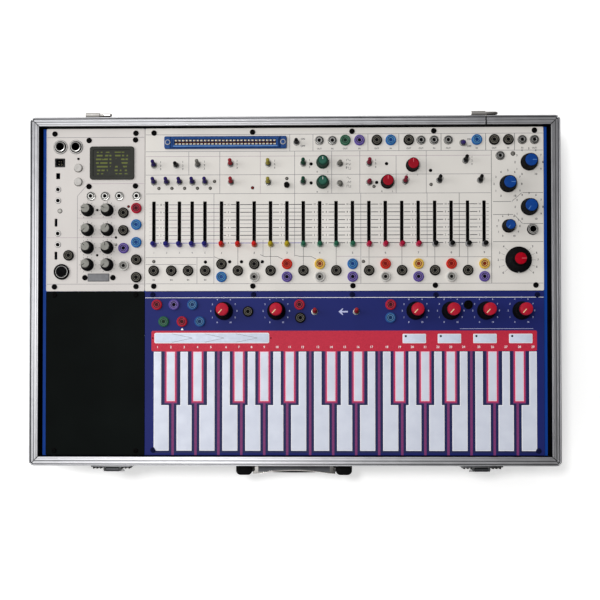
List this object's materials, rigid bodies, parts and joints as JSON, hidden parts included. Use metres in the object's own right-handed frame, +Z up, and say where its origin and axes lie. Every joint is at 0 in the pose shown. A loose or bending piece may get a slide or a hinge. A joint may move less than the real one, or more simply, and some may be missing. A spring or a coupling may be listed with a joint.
{
  "type": "modular synthesizer",
  "caption": "Modular synthesizer in a metal-edged case base: control panels with sliders, knobs and sockets, and a flat touch keyboard.",
  "frame": {"origin": "centre of the footprint, on the plane that the feet stand on", "axes": "+X right along the keyboard, +Y from the handle to the hinges, +Z up"},
  "size_m": [0.573, 0.395, 0.1105],
  "materials": {
    "case_black": "fine grained black covering",
    "rim_aluminium": "satin extruded",
    "bright_steel": "polished",
    "blue_metal": "satin paint",
    "light_panel": "satin paint with fine printed lines",
    "night_panel": "satin paint",
    "dark_panel": "satin paint",
    "black_plastic": "satin",
    "gray_plastic": "satin",
    "connector_blue": "moulded",
    "board_green": "solder mask",
    "supply_metal": "bare",
    "display_dark": "gloss",
    "knob_green": "satin",
    "knob_red": "satin",
    "knob_blue": "satin",
    "slider_violet": "satin",
    "slider_red": "satin",
    "slider_yellow": "satin",
    "slider_green": "satin",
    "slider_crimson": "satin",
    "slider_black": "satin"
  },
  "bodies": {
    "synthesizer": {"case_tray": "case_black", "rim_frame": "rim_aluminium", "chassis": "blue_metal", "power_supply": "supply_metal", "program_panel": "light_panel", "jack_pair": "black_plastic", "usb_socket": "bright_steel", "display": "display_dark", "voice_panel": "light_panel", "voice_board": "board_green", "phones_jack": "black_plastic", "card_connector": "connector_blue", "keyboard_panel": "night_panel", "blank_panel": "dark_panel"},
    "slider_01_body": {"slider_01": "slider_violet"},
    "slider_02_body": {"slider_02": "slider_violet"},
    "slider_03_body": {"slider_03": "slider_violet"},
    "slider_04_body": {"slider_04": "slider_violet"},
    "slider_05_body": {"slider_05": "slider_violet"},
    "slider_06_body": {"slider_06": "slider_red"},
    "slider_07_body": {"slider_07": "slider_red"},
    "slider_08_body": {"slider_08": "slider_red"},
    "slider_09_body": {"slider_09": "slider_yellow"},
    "slider_10_body": {"slider_10": "slider_yellow"},
    "slider_11_body": {"slider_11": "slider_green"},
    "slider_12_body": {"slider_12": "slider_green"},
    "slider_13_body": {"slider_13": "slider_green"},
    "slider_14_body": {"slider_14": "slider_green"},
    "slider_15_body": {"slider_15": "slider_crimson"},
    "slider_16_body": {"slider_16": "slider_crimson"},
    "slider_17_body": {"slider_17": "slider_crimson"},
    "slider_18_body": {"slider_18": "slider_crimson"},
    "slider_19_body": {"slider_19": "slider_black"},
    "slider_20_body": {"slider_20": "slider_black"},
    "slider_21_body": {"slider_21": "slider_black"},
    "slider_22_body": {"slider_22": "slider_black"},
    "green_knob_1_body": {"green_knob_1": "knob_green"},
    "green_knob_2_body": {"green_knob_2": "knob_green"},
    "red_knob_1_body": {"red_knob_1": "knob_red"},
    "red_knob_2_body": {"red_knob_2": "knob_red"},
    "blue_knob_1_body": {"blue_knob_1": "knob_blue"},
    "blue_knob_2_body": {"blue_knob_2": "knob_blue"},
    "blue_knob_3_body": {"blue_knob_3": "knob_blue"},
    "blue_knob_4_body": {"blue_knob_4": "knob_blue"},
    "master_knob_body": {"master_knob": "knob_red"},
    "keyboard_knob_1_body": {"keyboard_knob_1": "knob_red"},
    "keyboard_knob_2_body": {"keyboard_knob_2": "knob_red"},
    "keyboard_knob_3_body": {"keyboard_knob_3": "knob_red"},
    "keyboard_knob_4_body": {"keyboard_knob_4": "knob_red"},
    "keyboard_knob_5_body": {"keyboard_knob_5": "knob_red"},
    "keyboard_knob_6_body": {"keyboard_knob_6": "knob_red"},
    "toggle_switch_1_body": {"toggle_switch_1": "bright_steel"},
    "toggle_switch_2_body": {"toggle_switch_2": "bright_steel"},
    "push_button_1_body": {"push_button_1": "gray_plastic"},
    "push_button_2_body": {"push_button_2": "gray_plastic"},
    "voice_button_body": {"voice_button": "black_plastic"},
    "latch_lever_left_body": {"latch_lever_left": "bright_steel"},
    "latch_lever_right_body": {"latch_lever_right": "bright_steel"},
    "handle_body": {"handle_bail": "bright_steel", "handle_grip": "black_plastic"}
  },
  "joints": [
    {"name": "slider_01_slide", "type": "slide", "parent": "synthesizer", "child": "slider_01_body", "axis": [0, 1, 0], "range_m": [0, 0.0425]},
    {"name": "slider_02_slide", "type": "slide", "parent": "synthesizer", "child": "slider_02_body", "axis": [0, 1, 0], "range_m": [0, 0.0425]},
    {"name": "slider_03_slide", "type": "slide", "parent": "synthesizer", "child": "slider_03_body", "axis": [0, 1, 0], "range_m": [0, 0.0425]},
    {"name": "slider_04_slide", "type": "slide", "parent": "synthesizer", "child": "slider_04_body", "axis": [0, 1, 0], "range_m": [0, 0.0425]},
    {"name": "slider_05_slide", "type": "slide", "parent": "synthesizer", "child": "slider_05_body", "axis": [0, 1, 0], "range_m": [0, 0.0425]},
    {"name": "slider_06_slide", "type": "slide", "parent": "synthesizer", "child": "slider_06_body", "axis": [0, 1, 0], "range_m": [0, 0.0425]},
    {"name": "slider_07_slide", "type": "slide", "parent": "synthesizer", "child": "slider_07_body", "axis": [0, 1, 0], "range_m": [0, 0.0425]},
    {"name": "slider_08_slide", "type": "slide", "parent": "synthesizer", "child": "slider_08_body", "axis": [0, 1, 0], "range_m": [0, 0.0425]},
    {"name": "slider_09_slide", "type": "slide", "parent": "synthesizer", "child": "slider_09_body", "axis": [0, 1, 0], "range_m": [0, 0.0425]},
    {"name": "slider_10_slide", "type": "slide", "parent": "synthesizer", "child": "slider_10_body", "axis": [0, 1, 0], "range_m": [0, 0.0425]},
    {"name": "slider_11_slide", "type": "slide", "parent": "synthesizer", "child": "slider_11_body", "axis": [0, 1, 0], "range_m": [0, 0.0425]},
    {"name": "slider_12_slide", "type": "slide", "parent": "synthesizer", "child": "slider_12_body", "axis": [0, 1, 0], "range_m": [0, 0.0425]},
    {"name": "slider_13_slide", "type": "slide", "parent": "synthesizer", "child": "slider_13_body", "axis": [0, 1, 0], "range_m": [0, 0.0425]},
    {"name": "slider_14_slide", "type": "slide", "parent": "synthesizer", "child": "slider_14_body", "axis": [0, 1, 0], "range_m": [0, 0.0425]},
    {"name": "slider_15_slide", "type": "slide", "parent": "synthesizer", "child": "slider_15_body", "axis": [0, 1, 0], "range_m": [0, 0.0425]},
    {"name": "slider_16_slide", "type": "slide", "parent": "synthesizer", "child": "slider_16_body", "axis": [0, 1, 0], "range_m": [0, 0.0425]},
    {"name": "slider_17_slide", "type": "slide", "parent": "synthesizer", "child": "slider_17_body", "axis": [0, 1, 0], "range_m": [0, 0.0425]},
    {"name": "slider_18_slide", "type": "slide", "parent": "synthesizer", "child": "slider_18_body", "axis": [0, 1, 0], "range_m": [0, 0.0425]},
    {"name": "slider_19_slide", "type": "slide", "parent": "synthesizer", "child": "slider_19_body", "axis": [0, 1, 0], "range_m": [0, 0.0425]},
    {"name": "slider_20_slide", "type": "slide", "parent": "synthesizer", "child": "slider_20_body", "axis": [0, 1, 0], "range_m": [0, 0.0425]},
    {"name": "slider_21_slide", "type": "slide", "parent": "synthesizer", "child": "slider_21_body", "axis": [0, 1, 0], "range_m": [0, 0.0425]},
    {"name": "slider_22_slide", "type": "slide", "parent": "synthesizer", "child": "slider_22_body", "axis": [0, 1, 0], "range_m": [0, 0.0425]},
    {"name": "green_knob_1_turn", "type": "hinge", "parent": "synthesizer", "child": "green_knob_1_body", "pos_m": [0.03109, 0.14279, 0.086], "axis": [0, 0, -1], "range_deg": [-150, 150]},
    {"name": "green_knob_2_turn", "type": "hinge", "parent": "synthesizer", "child": "green_knob_2_body", "pos_m": [0.03109, 0.12092, 0.086], "axis": [0, 0, -1], "range_deg": [-150, 150]},
    {"name": "red_knob_1_turn", "type": "hinge", "parent": "synthesizer", "child": "red_knob_1_body", "pos_m": [0.12824, 0.13924, 0.086], "axis": [0, 0, -1], "range_deg": [-150, 150]},
    {"name": "red_knob_2_turn", "type": "hinge", "parent": "synthesizer", "child": "red_knob_2_body", "pos_m": [0.10104, 0.1211, 0.086], "axis": [0, 0, -1], "range_deg": [-150, 150]},
    {"name": "blue_knob_1_turn", "type": "hinge", "parent": "synthesizer", "child": "blue_knob_1_body", "pos_m": [0.2539, 0.14226, 0.086], "axis": [0, 0, -1], "range_deg": [-240, 60]},
    {"name": "blue_knob_2_turn", "type": "hinge", "parent": "synthesizer", "child": "blue_knob_2_body", "pos_m": [0.23123, 0.1187, 0.086], "axis": [0, 0, -1], "range_deg": [-240, 60]},
    {"name": "blue_knob_3_turn", "type": "hinge", "parent": "synthesizer", "child": "blue_knob_3_body", "pos_m": [0.2539, 0.09372, 0.086], "axis": [0, 0, -1], "range_deg": [0, 300]},
    {"name": "blue_knob_4_turn", "type": "hinge", "parent": "synthesizer", "child": "blue_knob_4_body", "pos_m": [0.23166, 0.07301, 0.086], "axis": [0, 0, -1], "range_deg": [0, 300]},
    {"name": "master_knob_turn", "type": "hinge", "parent": "synthesizer", "child": "master_knob_body", "pos_m": [0.24202, 0.03647, 0.086], "axis": [0, 0, -1], "range_deg": [-240, 60]},
    {"name": "keyboard_knob_1_turn", "type": "hinge", "parent": "synthesizer", "child": "keyboard_knob_1_body", "pos_m": [-0.076, -0.0183, 0.086], "axis": [0, 0, -1], "range_deg": [0, 300]},
    {"name": "keyboard_knob_2_turn", "type": "hinge", "parent": "synthesizer", "child": "keyboard_knob_2_body", "pos_m": [-0.019, -0.0183, 0.086], "axis": [0, 0, -1], "range_deg": [0, 300]},
    {"name": "keyboard_knob_3_turn", "type": "hinge", "parent": "synthesizer", "child": "keyboard_knob_3_body", "pos_m": [0.13127, -0.0183, 0.086], "axis": [0, 0, -1], "range_deg": [0, 300]},
    {"name": "keyboard_knob_4_turn", "type": "hinge", "parent": "synthesizer", "child": "keyboard_knob_4_body", "pos_m": [0.16927, -0.0183, 0.086], "axis": [0, 0, -1], "range_deg": [0, 300]},
    {"name": "keyboard_knob_5_turn", "type": "hinge", "parent": "synthesizer", "child": "keyboard_knob_5_body", "pos_m": [0.20726, -0.0183, 0.086], "axis": [0, 0, -1], "range_deg": [0, 300]},
    {"name": "keyboard_knob_6_turn", "type": "hinge", "parent": "synthesizer", "child": "keyboard_knob_6_body", "pos_m": [0.24526, -0.0183, 0.086], "axis": [0, 0, -1], "range_deg": [0, 300]},
    {"name": "toggle_switch_1_tilt", "type": "hinge", "parent": "synthesizer", "child": "toggle_switch_1_body", "pos_m": [0.02245, -0.01918, 0.088], "axis": [1, 0, 0], "range_deg": [0, 24]},
    {"name": "toggle_switch_2_tilt", "type": "hinge", "parent": "synthesizer", "child": "toggle_switch_2_body", "pos_m": [0.06736, -0.01918, 0.088], "axis": [1, 0, 0], "range_deg": [0, 24]},
    {"name": "push_button_1_press", "type": "slide", "parent": "synthesizer", "child": "push_button_1_body", "axis": [0, 0, -1], "range_m": [0, 0.002], "stiffness_N_per_m": 100},
    {"name": "push_button_2_press", "type": "slide", "parent": "synthesizer", "child": "push_button_2_body", "axis": [0, 0, -1], "range_m": [0, 0.002], "stiffness_N_per_m": 100},
    {"name": "voice_button_press", "type": "slide", "parent": "synthesizer", "child": "voice_button_body", "axis": [0, 0, -1], "range_m": [0, 0.002], "stiffness_N_per_m": 100},
    {"name": "latch_lever_left_swing", "type": "hinge", "parent": "synthesizer", "child": "latch_lever_left_body", "pos_m": [-0.197, -0.18978, 0.083], "axis": [-1, 0, 0], "range_deg": [0, 120]},
    {"name": "latch_lever_right_swing", "type": "hinge", "parent": "synthesizer", "child": "latch_lever_right_body", "pos_m": [0.202, -0.18978, 0.083], "axis": [-1, 0, 0], "range_deg": [0, 120]},
    {"name": "handle_swing", "type": "hinge", "parent": "synthesizer", "child": "handle_body", "pos_m": [0, -0.19208, 0.056], "axis": [-1, 0, 0], "range_deg": [0, 100]}
  ]
}
